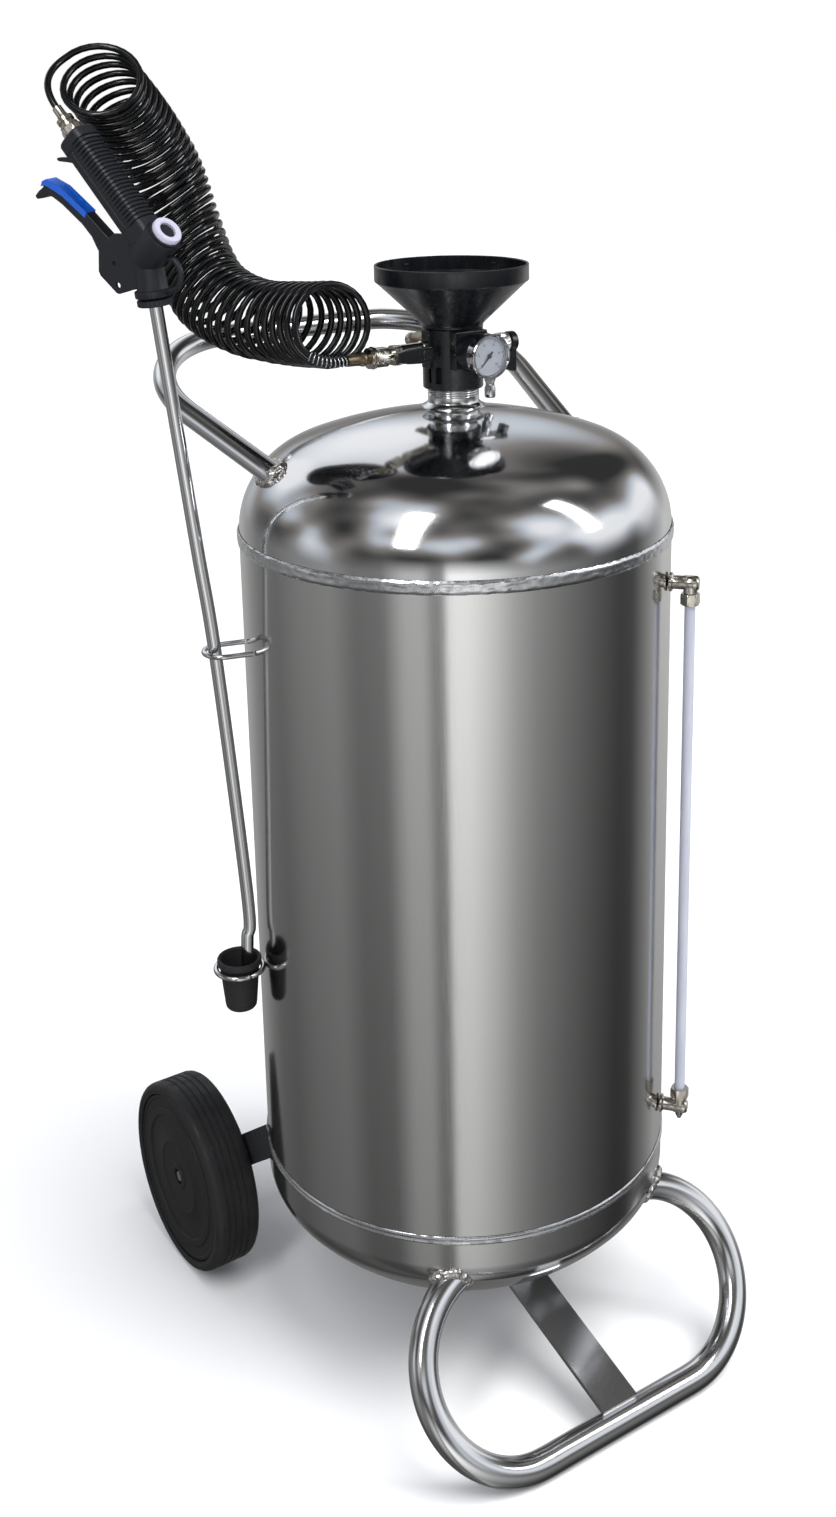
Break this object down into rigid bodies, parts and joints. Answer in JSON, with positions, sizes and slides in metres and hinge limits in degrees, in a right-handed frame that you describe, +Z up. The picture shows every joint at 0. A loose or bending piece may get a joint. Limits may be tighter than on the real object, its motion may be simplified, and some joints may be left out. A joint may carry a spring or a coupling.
{
  "type": "wheeled pressure sprayer",
  "caption": "Wheeled stainless steel pressure sprayer: dished tank with filler funnel, gauge, valves, level tube, push handle, foot loop, spray gun with lance and spiral hose.",
  "frame": {"origin": "middle of the base of the whole object, without its hose, on the floor", "axes": "+Z up, -Y towards the foot loop and the gauge, +Y towards the wheels and the push handle, -X towards the lance"},
  "size_m": [0.5472, 0.5736, 1.2717],
  "materials": {
    "polished_steel": "polished stainless steel, fine scratches",
    "brushed_steel": "cold-rolled stainless steel, fine vertical grain",
    "ground_weld": "weld bead, brushed clean",
    "nickel": "nickel-plated brass, bright",
    "brass": "bare brass, dull",
    "black_plastic": "black plastic, satin gloss",
    "wheel_plastic": "black plastic, matt",
    "soft_black": "black rubber, matt",
    "tyre_rubber": "solid rubber tread, matt",
    "hose_plastic": "black polyurethane hose, glossy",
    "black_paint": "black paint, satin",
    "blue_plastic": "blue plastic, gloss",
    "grey_plastic": "pale grey plastic, satin",
    "milky_tube": "translucent milky tube",
    "dial": "printed pale dial",
    "lens": "clear lens"
  },
  "bodies": {
    "frame": {"tank_shell": "brushed_steel", "top_head": "polished_steel", "bottom_head": "brushed_steel", "top_seam_weld": "ground_weld", "bottom_seam_weld": "ground_weld", "filler_neck": "polished_steel", "neck_gasket": "soft_black", "dip_tube": "polished_steel", "filler_body": "black_plastic", "funnel": "black_plastic", "gauge_case": "nickel", "gauge_dial": "dial", "gauge_lens": "lens", "outlet_valve_body": "nickel", "union_nut": "nickel", "hose_tail": "brass", "inlet_valve_body": "nickel", "safety_valve_body": "brass", "safety_valve_cap": "nickel", "level_fitting_bottom": "nickel", "level_nut_bottom": "nickel", "level_fitting_top": "nickel", "level_nut_top": "nickel", "level_tube": "milky_tube", "push_handle": "polished_steel", "handle_weld_left": "ground_weld", "handle_weld_right": "ground_weld", "foot_loop": "polished_steel", "foot_weld_left": "ground_weld", "foot_weld_right": "ground_weld", "foot_strut": "polished_steel", "wheel_bracket_left": "black_paint", "wheel_bracket_right": "black_paint", "wheel_axle": "nickel", "lance_cup": "soft_black", "cup_ring": "polished_steel", "lance_loop": "polished_steel", "hose_valve_lead": "hose_plastic", "hose_spring_guard": "nickel", "hose_coil": "hose_plastic", "hose_gun_lead": "hose_plastic"},
    "wheel_left": {"wheel_rim_left": "wheel_plastic", "tyre_left": "tyre_rubber"},
    "wheel_right": {"wheel_rim_right": "wheel_plastic", "tyre_right": "tyre_rubber"},
    "outlet_handle": {"outlet_lever": "black_plastic", "valve_ball": "nickel"},
    "gauge_pointer": {"gauge_needle": "black_paint"},
    "plug": {"fill_plug": "soft_black"},
    "inlet_handle": {"inlet_lever": "black_plastic"},
    "gun": {"gun_body": "black_plastic", "gun_valve_cap": "grey_plastic", "gun_inlet_fitting": "nickel", "lance": "polished_steel", "lance_nut": "black_plastic", "lance_seal": "soft_black", "trigger_pin": "nickel"},
    "trigger": {"gun_trigger": "black_plastic", "trigger_insert": "blue_plastic"},
    "lock": {"trigger_lock": "black_plastic"}
  },
  "joints": [
    {"name": "wheel_left_spin", "type": "hinge", "parent": "frame", "child": "wheel_left", "pos_m": [-0.16514, 0.18676, 0.1], "axis": [1, 0, 0], "continuous": true},
    {"name": "wheel_right_spin", "type": "hinge", "parent": "frame", "child": "wheel_right", "pos_m": [0.24926, 0.18676, 0.1], "axis": [1, 0, 0], "continuous": true},
    {"name": "outlet_lever_turn", "type": "hinge", "parent": "frame", "child": "outlet_handle", "pos_m": [0.00406, -0.03324, 0.99236], "axis": [0, -1, 0], "range_deg": [0, 90]},
    {"name": "gauge_needle_turn", "type": "hinge", "parent": "frame", "child": "gauge_pointer", "pos_m": [0.04206, -0.07824, 0.99236], "axis": [0, 1, 0], "range_deg": [0, 270], "stiffness_Nm_per_rad": 0.00002},
    {"name": "fill_plug_lift", "type": "slide", "parent": "frame", "child": "plug", "axis": [0, 0, 1], "range_m": [0, 0.06]},
    {"name": "inlet_lever_turn", "type": "hinge", "parent": "frame", "child": "inlet_handle", "pos_m": [0.10406, -0.02124, 0.99236], "axis": [1, 0, 0], "range_deg": [0, 90]},
    {"name": "gun_lift", "type": "slide", "parent": "frame", "child": "gun", "axis": [0, 0, 1], "range_m": [0, 0.12], "deforming": ["hose_coil", "hose_gun_lead"]},
    {"name": "trigger_squeeze", "type": "hinge", "parent": "gun", "child": "trigger", "pos_m": [-0.22932, 0.07653, 1.08286], "axis": [0.9275, 0.3635, 0.0871], "range_deg": [0, 12], "stiffness_Nm_per_rad": 0.6, "springref_deg": -5.73},
    {"name": "trigger_lock_swing", "type": "hinge", "parent": "gun", "child": "lock", "pos_m": [-0.24862, 0.10545, 1.16765], "axis": [0.9275, 0.3635, 0.0871], "range_deg": [0, 30]}
  ]
}
